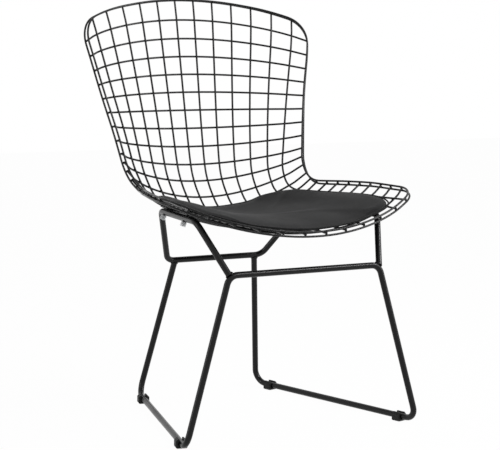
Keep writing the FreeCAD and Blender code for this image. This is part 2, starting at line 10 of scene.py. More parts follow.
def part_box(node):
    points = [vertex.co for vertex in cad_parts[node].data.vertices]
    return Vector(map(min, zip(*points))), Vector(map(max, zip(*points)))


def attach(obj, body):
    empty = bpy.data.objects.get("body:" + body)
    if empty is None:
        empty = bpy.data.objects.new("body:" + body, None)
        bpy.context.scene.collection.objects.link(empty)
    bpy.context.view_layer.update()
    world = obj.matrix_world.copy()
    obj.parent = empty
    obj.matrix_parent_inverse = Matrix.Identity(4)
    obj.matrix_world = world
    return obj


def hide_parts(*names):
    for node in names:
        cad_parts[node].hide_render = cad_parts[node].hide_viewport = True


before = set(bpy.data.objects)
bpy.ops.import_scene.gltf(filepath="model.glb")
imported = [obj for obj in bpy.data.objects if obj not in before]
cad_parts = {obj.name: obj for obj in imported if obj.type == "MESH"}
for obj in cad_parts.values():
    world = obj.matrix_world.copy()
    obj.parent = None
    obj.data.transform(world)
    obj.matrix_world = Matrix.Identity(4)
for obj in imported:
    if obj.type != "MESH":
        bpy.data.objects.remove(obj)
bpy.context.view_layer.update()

bl_info = {
    "name": "Wire Mesh Chair",
    "version": (1, 0, 0),
    "blender": (4, 5, 0),
    "location": "View3D > Sidebar > Chair",
    "description": "Finishes, welds, seat pad and studio for a wire mesh chair",
    "category": "Object",
}

# The photograph's camera, in metres and degrees.
CAMERA_PLACE = (-1.59558, -2.92290, 0.79073)
CAMERA_TURN = -28.834
CAMERA_TILT = 7.121
CAMERA_ROLL = 0.651
CAMERA_LENS = 122.35
SENSOR_WIDTH = 36.0

# Places on the base that the welds start from, for the right-hand side.
FRONT_STRUT_FOOT = (0.161, -0.242, 0.318)
FRONT_STRUT_TOP = (0.196, -0.178, 0.4103)
REAR_LEG_TOP = (0.091, 0.122, 0.294)
REAR_LEG_FOOT = (0.137, 0.192, 0.0095)

WIRE_RADIUS = 0.002
ROD_RADIUS = 0.006
STUD_RADIUS = 0.0025
STUD_END_REACH = 0.0056
MOST_CROSSING_GAP = 0.006

# Welds: how far a spot stands out, and how a bead looks for the rod that it meets.
SPOT_HEIGHT = 0.0011
BEAD_SEARCH = 0.022
BEAD_STEP = 0.0003
FILLET_FILL = 0.9

# Half sizes of one stitch, across, along and up.
STITCH_HALF = (0.00038, 0.0017, 0.0004)
STITCH_CHANNEL = 0.0005

# Lamps: width, depth, place and the point that each one faces.
KEY_LAMP = (2.4, 0.2, (1.5, -1.6, 2.0), (0, 0, 0.32))
LEFT_LAMP = (0.45, 1.6, (-2.4, 0.4, 0.8), (0, 0, 0.3))
RIGHT_LAMP = (0.35, 1.6, (1.9, -1.2, 0.9), (0, 0, 0.4))
FLOOR_HALF = 6.0


class CoatSettings(bpy.types.PropertyGroup):
    colour: FloatVectorProperty(
        name="Coat colour", description="Colour of the powder coat", subtype="COLOR",
        size=3, min=0, max=1, default=(0.006, 0.006, 0.0063))
    roughness: FloatProperty(
        name="Coat roughness", description="Roughness of the powder coat",
        subtype="FACTOR", min=0, max=1, default=0.26)
    peel_size: FloatProperty(
        name="Peel size", description="Size of the coat's fine waves", unit="LENGTH",
        min=0.0001, max=0.01, default=0.0012)


class WeldSettings(bpy.types.PropertyGroup):
    spot_radius: FloatProperty(
        name="Weld spot", description="Half width of a weld between crossing wires",
        unit="LENGTH", min=0.0005, max=0.005, default=0.0024)
    bead_radius: FloatProperty(
        name="Weld bead", description="Half width of the beads that join the rods",
        unit="LENGTH", min=0.0005, max=0.005, default=0.0017)


class FixingSettings(bpy.types.PropertyGroup):
    thread_pitch: FloatProperty(
        name="Thread pitch", description="Pitch of the stud's thread", unit="LENGTH",
        min=0.0004, max=0.002, default=0.0008)
    thread_depth: FloatProperty(
        name="Thread depth", description="Depth of the stud's thread", unit="LENGTH",
        min=0.0001, max=0.001, default=0.0004)


class PadSettings(bpy.types.PropertyGroup):
    colour: FloatVectorProperty(
        name="Cover colour", description="Colour of the leatherette", subtype="COLOR",
        size=3, min=0, max=1, default=(0.0125, 0.0125, 0.0129))
    piping_radius: FloatProperty(
        name="Piping", description="Half thickness of the piping round the pad",
        unit="LENGTH", min=0.0005, max=0.006, default=0.0017)
    pressure: FloatProperty(
        name="Foam pressure", description="Pressure of the foam under the cover", min=0,
        max=20, default=4.0)
    swell: FloatProperty(
        name="Most swell", description="Farthest that the foam may push the cover out",
        unit="LENGTH", min=0, max=0.02, default=0.005)
    stitch_pitch: FloatProperty(
        name="Stitch pitch", description="Distance from stitch to stitch", unit="LENGTH",
        min=0.002, max=0.01, default=0.0046)
    sides: IntProperty(
        name="Outline steps", description="Mesh steps round the piping", min=48, max=400,
        default=224)


class StageSettings(bpy.types.PropertyGroup):
    key_power: FloatProperty(
        name="Key light", description="Power of the long light above the front", unit="POWER",
        min=0, max=500, default=58.0)
    side_power: FloatProperty(
        name="Side lights", description="Power of each tall light at the sides", unit="POWER",
        min=0, max=500, default=14.0)
    surround: FloatProperty(
        name="Surround", description="Strength of the white surround", min=0, max=1,
        default=0.25)


# Nodes for the finishes.
def new_material(name):
    material = bpy.data.materials.new(name)
    material.use_nodes = True
    tree = material.node_tree
    shader = tree.nodes["Principled BSDF"]
    return material, tree, shader


def add_node(tree, kind, **values):
    node = tree.nodes.new(kind)
    for key, value in values.items():
        if key in node.inputs:
            node.inputs[key].default_value = value
        else:
            setattr(node, key, value)
    return node


def object_place(tree):
    return add_node(tree, "ShaderNodeTexCoord").outputs["Object"]


def noise_value(tree, place, scale, detail=2.0, roughness=0.5):
    node = add_node(tree, "ShaderNodeTexNoise", Scale=scale, Detail=detail, Roughness=roughness)
    tree.links.new(place, node.inputs["Vector"])
    return node.outputs["Fac"]


def remapped(tree, value, low, high, start=0.0, end=1.0):
    node = add_node(tree, "ShaderNodeMapRange")
    node.inputs["From Min"].default_value = start
    node.inputs["From Max"].default_value = end
    node.inputs["To Min"].default_value = low
    node.inputs["To Max"].default_value = high
    tree.links.new(value, node.inputs["Value"])
    return node.outputs["Result"]


def tinted(tree, value, dark, light):
    ramp = add_node(tree, "ShaderNodeValToRGB")
    ramp.color_ramp.elements[0].color = (*dark, 1)
    ramp.color_ramp.elements[1].color = (*light, 1)
    tree.links.new(value, ramp.inputs["Fac"])
    return ramp.outputs["Color"]


def bumped(tree, height, distance, strength=1.0, below=None):
    node = add_node(tree, "ShaderNodeBump", Distance=distance, Strength=strength)
    tree.links.new(height, node.inputs["Height"])
    if below is not None:
        tree.links.new(below, node.inputs["Normal"])
    return node.outputs["Normal"]


def scaled(colour, factor):
    return tuple(channel * factor for channel in colour)


def powder_coat(name, colour, roughness, peel_size):
    # Satin black: a fine orange peel, faint clouds and a few duller patches.
    material, tree, shader = new_material(name)
    place = object_place(tree)
    clouds = noise_value(tree, place, 14.0, 4.0)
    grain = noise_value(tree, place, 0.5 / peel_size, 2.0, 0.6)
    specks = noise_value(tree, place, 2.6 / peel_size, 1.0)
    colours = tinted(tree, clouds, scaled(colour, 0.82), scaled(colour, 1.2))
    tree.links.new(colours, shader.inputs["Base Color"])
    rough = remapped(tree, clouds, roughness - 0.05, roughness + 0.06, 0.3, 0.7)
    tree.links.new(rough, shader.inputs["Roughness"])
    peel = bumped(tree, grain, peel_size * 0.05, 0.5)
    fine = bumped(tree, specks, peel_size * 0.012, 0.35, peel)
    tree.links.new(fine, shader.inputs["Normal"])
    shader.inputs["Specular IOR Level"].default_value = 0.2
    return material


def leatherette(name, colour):
    # Pebbled grain over a soft cover, with painted shade: darker colour in the grooves, lighter on
    # the pebble tops.
    material, tree, shader = new_material(name)
    place = object_place(tree)
    stretch = noise_value(tree, place, 9.0, 3.0)
    cells = add_node(tree, "ShaderNodeTexVoronoi", Scale=620.0, feature="SMOOTH_F1")
    tree.links.new(place, cells.inputs["Vector"])
    creases = noise_value(tree, place, 260.0, 5.0, 0.65)
    pebble_height_and_groove_shade = remapped(tree, cells.outputs["Distance"], 1.0, 0.0, 0.0, 0.8)
    # The colour follows the pebble height: painted shade in the grooves between the pebbles,
    # lighter pebble tops.
    colours = tinted(tree, pebble_height_and_groove_shade, scaled(colour, 0.75), scaled(colour, 1.15))
    tree.links.new(colours, shader.inputs["Base Color"])
    tree.links.new(remapped(tree, stretch, 0.48, 0.6, 0.3, 0.7), shader.inputs["Roughness"])
    grain = bumped(tree, pebble_height_and_groove_shade, 0.00012, 0.55)
    worn = bumped(tree, creases, 0.00010, 0.4, grain)
    tree.links.new(worn, shader.inputs["Normal"])
    shader.inputs["Specular IOR Level"].default_value = 0.04
    shader.inputs["Sheen Weight"].default_value = 0.02
    return material


def sewing_thread(name):
    material, tree, shader = new_material(name)
    place = object_place(tree)
    strands = noise_value(tree, place, 2400.0, 2.0)
    tree.links.new(tinted(tree, strands, (0.008, 0.008, 0.008), (0.03, 0.03, 0.031)),
                   shader.inputs["Base Color"])
    tree.links.new(bumped(tree, strands, 0.0001, 0.8), shader.inputs["Normal"])
    shader.inputs["Roughness"].default_value = 0.7
    return material


def moulded_plastic(name):
    material, tree, shader = new_material(name)
    place = object_place(tree)
    texture = noise_value(tree, place, 1500.0, 3.0)
    scuffs = noise_value(tree, place, 60.0, 6.0, 0.7)
    tree.links.new(tinted(tree, scuffs, (0.006, 0.006, 0.006), (0.016, 0.016, 0.016)),
                   shader.inputs["Base Color"])
    tree.links.new(remapped(tree, scuffs, 0.5, 0.68, 0.3, 0.7), shader.inputs["Roughness"])
    tree.links.new(bumped(tree, texture, 0.00004, 0.5), shader.inputs["Normal"])
    shader.inputs["Specular IOR Level"].default_value = 0.2
    return material


def plated_steel(name):
    # Black zinc: metallic, with brighter patches of rub spread at random.
    material, tree, shader = new_material(name)
    place = object_place(tree)
    rub = noise_value(tree, place, 700.0, 4.0)
    tree.links.new(tinted(tree, rub, (0.03, 0.03, 0.033), (0.11, 0.11, 0.115)),
                   shader.inputs["Base Color"])
    tree.links.new(remapped(tree, rub, 0.28, 0.5, 0.3, 0.7), shader.inputs["Roughness"])
    shader.inputs["Metallic"].default_value = 0.9
    return material


def clear_plastic(name):
    # Soft clear plastic, slightly milky.
    material, tree, shader = new_material(name)
    place = object_place(tree)
    cloud = noise_value(tree, place, 500.0, 2.0)
    tree.links.new(tinted(tree, cloud, (0.82, 0.83, 0.84), (0.95, 0.95, 0.95)),
                   shader.inputs["Base Color"])
    tree.links.new(remapped(tree, cloud, 0.18, 0.32, 0.3, 0.7), shader.inputs["Roughness"])
    shader.inputs["Transmission Weight"].default_value = 0.88
    shader.inputs["IOR"].default_value = 1.46
    return material


def finish_of(name, make):
    found = bpy.data.materials.get(name)
    return found if found else make(name)


def coat(name):
    settings = bpy.context.scene.chair_coat
    return finish_of(name, lambda label: powder_coat(
        label, tuple(settings.colour), settings.roughness, settings.peel_size))


def cover_finish():
    settings = bpy.context.scene.chair_pad
    return finish_of("leatherette_cover", lambda label: leatherette(label, tuple(settings.colour)))


# Meshes.
def wear(thing, material):
    thing.data.materials.clear()
    thing.data.materials.append(material)


def dress(names, material):
    for name in names:
        wear(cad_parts[name], material)


def nodes_like(start):
    return sorted(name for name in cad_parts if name.startswith(start))


def new_piece(name, points, faces, material, smooth=True):
    mesh = bpy.data.meshes.new(name)
    mesh.from_pydata([tuple(point) for point in points], [], faces)
    mesh.update()
    if smooth:
        for polygon in mesh.polygons:
            polygon.use_smooth = True
    piece = bpy.data.objects.new(name, mesh)
    bpy.context.scene.collection.objects.link(piece)
    wear(piece, material)
    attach(piece, "root")
    return piece


def welded_mesh(name):
    # The node's triangles with the doubled corners joined.
    form = bmesh.new()
    form.from_mesh(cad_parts[name].data)
    bmesh.ops.remove_doubles(form, verts=form.verts, dist=0.00001)
    form.verts.index_update()
    form.verts.ensure_lookup_table()
    return form


def in_order(verts):
    # Points are always taken in the same order, so that each run gives the same mesh.
    return sorted(verts, key=lambda vert: vert.index)


def bvh_of(name):
    form = welded_mesh(name)
    tree = BVHTree.FromBMesh(form)
    form.free()
    return tree


def centre_line(name):
    # Walks ring by ring from one end of a wire to the other.
    form = welded_mesh(name)
    start = max(form.verts, key=lambda vert: vert.co.z - vert.co.x)
    ring = {vert for vert in form.verts if (vert.co - start.co).length < WIRE_RADIUS * 2.05}
    seen = set(ring)
    line = []
    while ring:
        middle = Vector()
        for vert in in_order(ring):
            middle += vert.co
        line.append(middle / len(ring))
        ahead = set()
        for vert in ring:
            for edge in vert.link_edges:
                other = edge.other_vert(vert)
                if other not in seen:
                    ahead.add(other)
        seen |= ahead
        ring = ahead
    form.free()
    return line


def nearest_on_span(point, start, end):
    way = end - start
    share = (point - start).dot(way) / max(way.length_squared, 1e-12)
    return start + way * min(max(share, 0.0), 1.0)


def spans_meet(a, b, c, d):
    # Nearest points of two short straight spans.
    here = (a + b) * 0.5
    for _ in range(12):
        there = nearest_on_span(here, c, d)
        here = nearest_on_span(there, a, b)
    return here, there


def crossing(line_a, line_b):
    best = None
    for a, b in zip(line_a, line_a[1:]):
        reach = (b - a).length
        for c, d in zip(line_b, line_b[1:]):
            if (a - c).length > reach + (d - c).length + 0.02:
                continue
            here, there = spans_meet(a, b, c, d)
            gap = (here - there).length
            if best is None or gap < best[0]:
                best = (gap, here, there, (b - a).normalized(), (d - c).normalized())
    return best


def ball(radius_x, radius_y, radius_z, place, across, along, up, sides=10, rings=6):
    if across.cross(along).dot(up) < 0:
        across = -across
    points = [place + up * radius_z]
    for ring in range(1, rings):
        angle = math.pi * ring / rings
        for side in range(sides):
            turn = 2 * math.pi * side / sides
            points.append(place + across * (radius_x * math.sin(angle) * math.cos(turn))
                          + along * (radius_y * math.sin(angle) * math.sin(turn))
                          + up * (radius_z * math.cos(angle)))
    points.append(place - up * radius_z)
    last = len(points) - 1
    faces = []
    for side in range(sides):
        after = (side + 1) % sides
        faces.append((0, 1 + side, 1 + after))
        base = last - sides
        faces.append((last, base + after, base + side))
    for ring in range(rings - 2):
        low = 1 + ring * sides
        high = low + sides
        for side in range(sides):
            after = (side + 1) % sides
            faces.append((low + side, high + side, high + after, low + after))
    return points, faces


class Gathered:
    # Collects small forms into one mesh.
    def __init__(self):
        self.points = []
        self.faces = []

    def add(self, form):
        points, faces = form
        base = len(self.points)
        self.points += points
        self.faces += [tuple(base + corner for corner in face) for face in faces]


def square_to(way):
    guide = Vector((0, 0, 1)) if abs(way.z) < 0.9 else Vector((1, 0, 0))
    across = way.cross(guide).normalized()
    return across, way.cross(across).normalized()


def mirrored(point, side):
    return Vector((point[0] * side, point[1], point[2]))


class CHAIR_OT_coat_wires(bpy.types.Operator):
    """Powder coat on the grid wires and the two rim wires"""
    bl_idname = "chair.coat_wires"
    bl_label = "Coat the wires"

    def execute(self, context):
        wires = nodes_like("upright_wire") + nodes_like("cross_wire")
        dress(wires, coat("wire_powder_coat"))
        dress(nodes_like("rim_wire"), coat("rim_powder_coat"))
        for name in wires + nodes_like("rim_wire"):
            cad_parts[name].data.shade_smooth()
        return {"FINISHED"}


class CHAIR_OT_coat_base(bpy.types.Operator):
    """Powder coat on the base rods and the mounting plates"""
    bl_idname = "chair.coat_base"
    bl_label = "Coat the base"

    def execute(self, context):
        dress(["leg_frame", "seat_cradle"], coat("rod_powder_coat"))
        dress(nodes_like("mount_plate"), coat("rod_powder_coat"))
        return {"FINISHED"}


class CHAIR_OT_weld_grid(bpy.types.Operator):
    """Weld spots where the wires cross and where they end between the rims"""
    bl_idname = "chair.weld_grid"
    bl_label = "Weld the grid"

    def execute(self, context):
        radius = context.scene.chair_weld.spot_radius
        uprights = {name: centre_line(name) for name in nodes_like("upright_wire")}
        crosses = {name: centre_line(name) for name in nodes_like("cross_wire")}
        spots = Gathered()
        for upright in uprights.values():
            for cross in crosses.values():
                met = crossing(upright, cross)
                if met is None or met[0] > MOST_CROSSING_GAP:
                    raise RuntimeError("two wires of the grid don't cross")
                gap, here, there, along, across = met
                up = (here - there).normalized()
                wide = radius * (1 + 0.12 * noise.noise(here * 90))
                side = up.cross(along).normalized()
                spots.add(ball(wide, wide, SPOT_HEIGHT, (here + there) / 2, side, along, up,
                               8, 4))
        new_piece("grid_weld_spots", spots.points, spots.faces, coat("wire_powder_coat"))
        self.weld_rims(list(uprights.values()) + list(crosses.values()), radius)
        return {"FINISHED"}

    def weld_rims(self, lines, radius):
        rims = [bvh_of(name) for name in nodes_like("rim_wire")]
        beads = Gathered()
        for line in lines:
            for end, inner in ((line[0], line[1]), (line[-1], line[-2])):
                way = (end - inner).normalized()
                for rim in rims:
                    near = rim.find_nearest(end - way * 0.0016)[0]
                    up = (near - end).normalized()
                    side = up.cross(way).normalized()
                    place = near - up * 0.0003 - way * 0.0004
                    long = radius * 0.95
                    beads.add(ball(radius * 1.1, long, SPOT_HEIGHT, place, side, way, up, 8, 4))
        new_piece("rim_weld_beads", beads.points, beads.faces, coat("wire_powder_coat"))


def weld_ring(foot, way, rod_radius, target, bead, steps=40):
    # A run of overlapping drops round a rod where it meets another piece.
    across, up = square_to(way)
    drops = []
    for step in range(steps):
        turn = 2 * math.pi * step / steps
        out = across * math.cos(turn) + up * math.sin(turn)
        travel = BEAD_SEARCH
        while travel > 0:
            place = foot + way * travel + out * rod_radius
            if target.find_nearest(place)[3] < bead * 0.55:
                break
            travel -= BEAD_STEP
        if target.find_nearest(place)[3] < bead * 1.2:
            drops.append((place, out))
    return drops


class CHAIR_OT_weld_base(bpy.types.Operator):
    """Weld beads where the struts and the legs meet the bars"""
    bl_idname = "chair.weld_base"
    bl_label = "Weld the base"

    def execute(self, context):
        bead = context.scene.chair_weld.bead_radius
        legs = bvh_of("leg_frame")
        cradle = bvh_of("seat_cradle")
        joints = []
        for side in (-1, 1):
            joints.append((FRONT_STRUT_FOOT, FRONT_STRUT_TOP, legs, side))
            joints.append((REAR_LEG_TOP, REAR_LEG_FOOT, cradle, side))
        beads = Gathered()
        for start, end, target, side in joints:
            foot = mirrored(start, side)
            way = (mirrored(end, side) - foot).normalized()
            drops = weld_ring(foot, way, ROD_RADIUS, target, bead)
            for index, (place, out) in enumerate(drops):
                along = way.cross(out).normalized()
                up = out.cross(along).normalized()
                fill = 1.0
                if target is legs:
                    fill += FILLET_FILL * max(0.0, -out.x * side)
                wide = bead * fill * (1 + 0.1 * math.sin(index * 2.4))
                beads.add(ball(wide, bead * 0.9 * fill, bead * 0.9 * fill, place, along, out, up,
                               8, 6))
        new_piece("base_weld_beads", beads.points, beads.faces, coat("rod_powder_coat"))
        return {"FINISHED"}


def loose_forms(name):
    # The separate solids of a node, each as a list of its points.
    form = welded_mesh(name)
    left = set(form.verts)
    groups = []
    for first in form.verts:
        if first not in left:
            continue
        left.remove(first)
        stack = [first]
        group = [stack[0].co.copy()]
        while stack:
            vert = stack.pop()
            for edge in vert.link_edges:
                other = edge.other_vert(vert)
                if other in left:
                    left.remove(other)
                    stack.append(other)
                    group.append(other.co.copy())
        groups.append(group)
    form.free()
    return groups


def middle_of(points):
    total = Vector()
    for point in points:
        total += point
    return total / len(points)


def rounded_copy(name, width, segments, material, label):
    form = welded_mesh(name)
    bmesh.ops.dissolve_limit(form, angle_limit=math.radians(2), verts=form.verts, edges=form.edges)
    mesh = bpy.data.meshes.new(label)
    form.to_mesh(mesh)
    form.free()
    piece = bpy.data.objects.new(label, mesh)
    bpy.context.scene.collection.objects.link(piece)
    rounding = piece.modifiers.new("rounding", "BEVEL")
    rounding.width = width
    rounding.segments = segments
    rounding.limit_method = "ANGLE"
    rounding.angle_limit = math.radians(28)
    rounding.harden_normals = True
    mesh.shade_smooth()
    wear(piece, material)
    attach(piece, "root")
    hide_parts(name)
    return piece


def stud_axes():
    # Foot and head of each stud, from the two far ends of its solid.
    axes = []
    for points in loose_forms("mount_studs"):
        middle = middle_of(points)
        far = max(points, key=lambda point: (point - middle).length)
        ends = [point for point in points if (point - far).length < STUD_END_REACH]
        rest = [point for point in points if (point - far).length > STUD_END_REACH]
        tips = sorted((middle_of(ends), middle_of(rest)), key=lambda point: point.z)
        axes.append((tips[0], tips[1]))
    return axes


def threaded_stud(foot, head, radius, pitch, depth, sides=24):
    way = (head - foot).normalized()
    across, up = square_to(way)
    length = (head - foot).length
    turns = int(length / pitch)
    levels = turns * 6
    points = []
    for level in range(levels + 1):
        for side in range(sides):
            turn = 2 * math.pi * side / sides
            phase = (level / 6 + side / sides) % 1.0
            groove = abs(phase - 0.5) * 2 * depth
            end_share = min(level, levels - level) / 6
            fade = min(1.0, end_share)
            out = radius - groove * fade - (1 - fade) * depth
            reach = length * level / levels
            points.append(foot + way * reach
                          + across * (out * math.cos(turn)) + up * (out * math.sin(turn)))
    faces = []
    for level in range(levels):
        for side in range(sides):
            after = (side + 1) % sides
            low = level * sides
            high = low + sides
            faces.append((low + side, low + after, high + after, high + side))
    faces.append(tuple(reversed(range(sides))))
    top = levels * sides
    faces.append(tuple(top + side for side in range(sides)))
    return points, faces


class CHAIR_OT_fit_fixings(bpy.types.Operator):
    """Threaded studs, rounded washers, chamfered nuts and their clear caps"""
    bl_idname = "chair.fit_fixings"
    bl_label = "Fit the fixings"

    def execute(self, context):
        settings = context.scene.chair_fixing
        steel = finish_of("plated_steel", plated_steel)
        studs = Gathered()
        for foot, head in stud_axes():
            studs.add(threaded_stud(foot, head, STUD_RADIUS, settings.thread_pitch,
                                    settings.thread_depth))
        piece = new_piece("threaded_studs", studs.points, studs.faces, steel)
        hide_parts("mount_studs")
        rounded_copy("mount_washers", 0.0002, 2, steel, "rounded_washers")
        rounded_copy("mount_nuts", 0.0005, 2, steel, "chamfered_nuts")
        dress(["nut_caps"], finish_of("clear_plastic", clear_plastic))
        return {"FINISHED"}


class CHAIR_OT_mould_glides(bpy.types.Operator):
    """Rounded plastic saddles under the runners"""
    bl_idname = "chair.mould_glides"
    bl_label = "Mould the glides"

    def execute(self, context):
        plastic = finish_of("moulded_plastic", moulded_plastic)
        for name in nodes_like("glide"):
            rounded_copy(name, 0.0007, 3, plastic, "rounded_" + name)
        return {"FINISHED"}


# Seat pad.
SEAM_INSET = 0.004
TOP_SLACK = -0.0012
UNDER_SLACK = 0.0003
SEAM_LEVEL = 0.68
EDGE_ROUND = 0.007
STITCH_LEVEL = 0.984
PAD_LEVELS = ([0.86 * step / 18 for step in range(19)]
              + [0.897, 0.928, 0.953, 0.97, STITCH_LEVEL, 1.0])
CLOTH_FRAMES = 20


def convex_outline(points):
    flat = sorted(set((round(point.x, 5), round(point.y, 5)) for point in points))

    def half(ordered):
        chain = []
        for x, y in ordered:
            while len(chain) > 1:
                (ax, ay), (bx, by) = chain[-2], chain[-1]
                if (bx - ax) * (y - ay) - (by - ay) * (x - ax) > 0:
                    break
                chain.pop()
            chain.append((x, y))
        return chain[:-1]

    return half(flat) + half(flat[::-1])


def outline_reach(outline, centre, angle):
    # Distance from the centre to the outline along an angle.
    way_x, way_y = math.cos(angle), math.sin(angle)
    count = len(outline)
    for index in range(count):
        after = outline[(index + 1) % count]
        ax, ay = outline[index][0] - centre.x, outline[index][1] - centre.y
        bx, by = after[0] - centre.x, after[1] - centre.y
        spread = way_x * (by - ay) - way_y * (bx - ax)
        if abs(spread) < 1e-12:
            continue
        reach = (ax * by - ay * bx) / spread
        share = (ax * way_y - ay * way_x) / spread
        if reach > 0 and -1e-9 <= share <= 1 + 1e-9:
            return reach
    raise RuntimeError("the pad's outline isn't closed")


class PadForm:
    # Reads the space that the pad may fill.
    def __init__(self):
        self.solid = bvh_of("seat_pad")
        form = welded_mesh("seat_pad")
        points = [vert.co.copy() for vert in form.verts]
        form.free()
        low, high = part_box("seat_pad")
        self.centre = Vector((0, (low.y + high.y) / 2, 0))
        self.outline = convex_outline(points)
        self.top_z = high.z + 0.05

    def plan(self, share, angle, inset=0.0):
        reach = (outline_reach(self.outline, self.centre, angle) - inset) * share
        return self.centre + Vector((math.cos(angle), math.sin(angle), 0)) * reach

    def height(self, place, from_top):
        start = Vector((place.x, place.y, self.top_z if from_top else 0.3))
        way = Vector((0, 0, -1 if from_top else 1))
        hit = self.solid.ray_cast(start, way)[0]
        return hit.z if hit else None

    def seam_height(self, angle):
        inner = self.plan(0.965, angle)
        low, high = self.height(inner, False), self.height(inner, True)
        return low + (high - low) * SEAM_LEVEL

    def seam(self, angle, inset):
        place = self.plan(1.0, angle, inset)
        return Vector((place.x, place.y, self.seam_height(angle)))

    def cover(self, share, angle, is_top):
        # The cut cover before the foam pushes it out, rounded down to the seam.
        place = self.plan(share, angle, SEAM_INSET)
        inner = self.plan(min(share, 0.965), angle)
        full = self.height(inner, is_top)
        reach = outline_reach(self.outline, self.centre, angle) - SEAM_INSET
        inside = min((1 - share) * reach / EDGE_ROUND, 1.0)
        rise = math.sqrt(1 - (1 - inside) ** 2)
        seam = self.seam_height(angle)
        slack = TOP_SLACK if is_top else UNDER_SLACK
        return Vector((place.x, place.y, seam + (full + slack - seam) * rise))


def pad_sheets(form):
    # Two square nets, top and under cover, drawn out to the pad's outline.
    axis = [-level for level in reversed(PAD_LEVELS[1:])] + PAD_LEVELS
    size = len(axis)
    points, top_net, low_net, held = [], {}, {}, []
    for row in range(size):
        for column in range(size):
            across, along = axis[column], axis[row]
            share = max(abs(across), abs(along))
            angle = math.atan2(along, across)
            edge = share > 0.9999
            top_net[row, column] = len(points)
            points.append(form.cover(share, angle, True))
            low_net[row, column] = top_net[row, column]
            if not edge:
                low_net[row, column] = len(points)
                points.append(form.cover(share, angle, False))
            held.append(low_net[row, column])
    faces = []
    for row in range(size - 1):
        for column in range(size - 1):
            ring = [(row, column), (row, column + 1), (row + 1, column + 1), (row + 1, column)]
            faces.append(tuple(top_net[corner] for corner in ring))
            faces.append(tuple(low_net[corner] for corner in reversed(ring)))
    stitched = [top_net[row, column] for row in range(size) for column in range(size)
                if abs(max(abs(axis[row]), abs(axis[column])) - STITCH_LEVEL) < 0.0001]
    return points, faces, held, stitched, top_net


def evened(points, net, rounds=14, border=5):
    # Evens out the heights of the top cover, but not those near its seam.
    last = max(row for row, _ in net)
    inner = range(border, last - border + 1)
    for _ in range(rounds):
        heights = {}
        for row in inner:
            for column in inner:
                near = ((row - 1, column), (row + 1, column), (row, column - 1), (row, column + 1))
                heights[row, column] = sum(points[net[place]].z for place in near) / 4
        for place, height in heights.items():
            corner = points[net[place]]
            corner.z = (corner.z + height) / 2


def pushed_out(points, faces, held, pressure):
    # Cloth under pressure, held along the seam and below. No cloth is left behind.
    scene = bpy.context.scene
    mesh = bpy.data.meshes.new("pad_cloth")
    mesh.from_pydata([tuple(point) for point in points], [], faces)
    thing = bpy.data.objects.new("pad_cloth", mesh)
    scene.collection.objects.link(thing)
    thing.vertex_groups.new(name="seam").add(held, 1.0, "REPLACE")
    cloth = thing.modifiers.new("foam", "CLOTH")
    cloth.settings.quality = 6
    cloth.settings.vertex_group_mass = "seam"
    cloth.settings.use_pressure = True
    cloth.settings.uniform_pressure_force = pressure
    cloth.settings.effector_weights.gravity = 0
    cloth.point_cache.frame_start = 1
    cloth.point_cache.frame_end = CLOTH_FRAMES
    for step in range(1, CLOTH_FRAMES + 1):
        scene.frame_set(step)
    swollen = thing.evaluated_get(bpy.context.evaluated_depsgraph_get())
    places = [vert.co.copy() for vert in swollen.data.vertices]
    bpy.data.objects.remove(thing)
    bpy.data.meshes.remove(mesh)
    scene.frame_set(1)
    return places


def soft_capped(start, end, most):
    move = end - start
    if move.length < 1e-9:
        return start.copy()
    return start + move * (most * math.tanh(move.length / most) / move.length)


def piping_tube(form, radius, sides, around=10):
    points, faces = [], []
    middles = [form.seam(2 * math.pi * side / sides, radius + 0.0002) for side in range(sides)]
    for side in range(sides):
        way = (middles[(side + 1) % sides] - middles[side - 1]).normalized()
        across, up = square_to(way)
        for turn in range(around):
            angle = 2 * math.pi * turn / around
            points.append(middles[side] + across * (radius * math.cos(angle))
                          + up * (radius * math.sin(angle)))
    for side in range(sides):
        after = (side + 1) % sides
        for turn in range(around):
            beside = (turn + 1) % around
            faces.append((side * around + turn, side * around + beside,
                          after * around + beside, after * around + turn))
    return points, faces


def evenly_along(line, pitch):
    # Places one pitch apart on a closed line, each with the way it runs.
    total = sum((b - a).length for a, b in zip(line, line[1:] + line[:1]))
    count = round(total / pitch)
    step, travel, due = total / count, 0.0, 0.0
    places = []
    for a, b in zip(line, line[1:] + line[:1]):
        span = (b - a).length
        while due < travel + span and len(places) < count:
            places.append((a.lerp(b, (due - travel) / span), (b - a).normalized()))
            due += step
        travel += span
    return places


